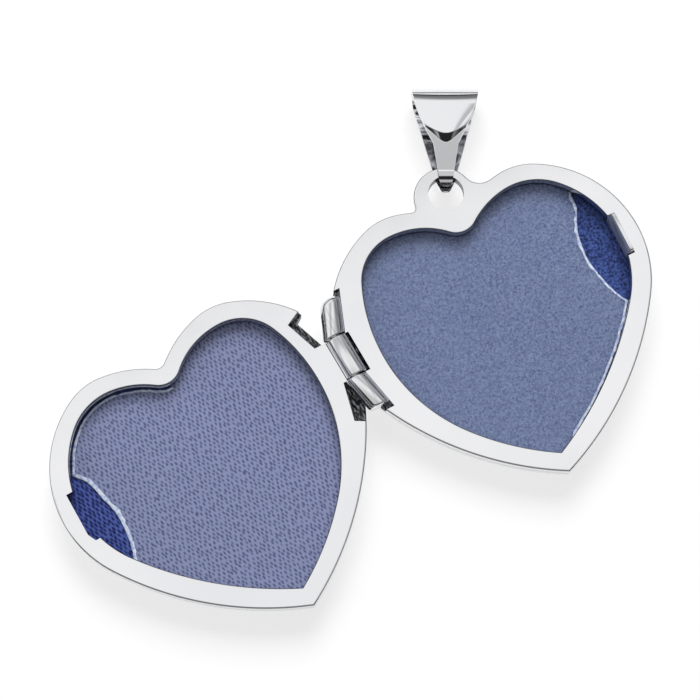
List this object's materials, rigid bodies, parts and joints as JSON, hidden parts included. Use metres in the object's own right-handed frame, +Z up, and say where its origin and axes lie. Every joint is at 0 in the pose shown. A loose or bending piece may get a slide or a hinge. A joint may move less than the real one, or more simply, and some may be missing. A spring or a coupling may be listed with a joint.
{
  "type": "heart locket",
  "caption": "Hinged heart locket lying open, with recessed picture places in both halves, a snap catch, an ear and a tapered bail.",
  "frame": {"origin": "on the surface it lies on, under the middle of its box, on the line below the hinge", "axes": "+Z up, away from the domed backs; +Y along the hinge axis, from the tips to the lobes; +X from the hinge across the half that has the ear and bail"},
  "size_m": [0.0414, 0.027, 0.0034],
  "materials": {
    "rhodium_plated_silver": "polished",
    "clear_film": "satin",
    "blue_cloth": "woven"
  },
  "bodies": {
    "back_half": {"back_film": "clear_film", "back_frame": "rhodium_plated_silver", "back_insert": "blue_cloth", "back_shell": "rhodium_plated_silver", "catch_tab": "rhodium_plated_silver", "hinge_knuckle_lower": "rhodium_plated_silver", "hinge_knuckle_upper": "rhodium_plated_silver", "hinge_pin": "rhodium_plated_silver"},
    "front_half": {"front_film": "clear_film", "front_frame": "rhodium_plated_silver", "front_insert": "blue_cloth", "front_shell": "rhodium_plated_silver", "hinge_knuckle_middle": "rhodium_plated_silver"},
    "bail": {"bail": "rhodium_plated_silver"}
  },
  "joints": [
    {"name": "lid_hinge", "type": "hinge", "parent": "back_half", "child": "front_half", "pos_m": [0, 0, 0.00275], "axis": [0, 1, 0], "range_deg": [0, 180]},
    {"name": "bail_swing", "type": "hinge", "parent": "back_half", "child": "bail", "pos_m": [0.01143, 0.00733, 0.0022], "axis": [0.8848, -0.466, 0], "range_deg": [-50, 105]}
  ]
}
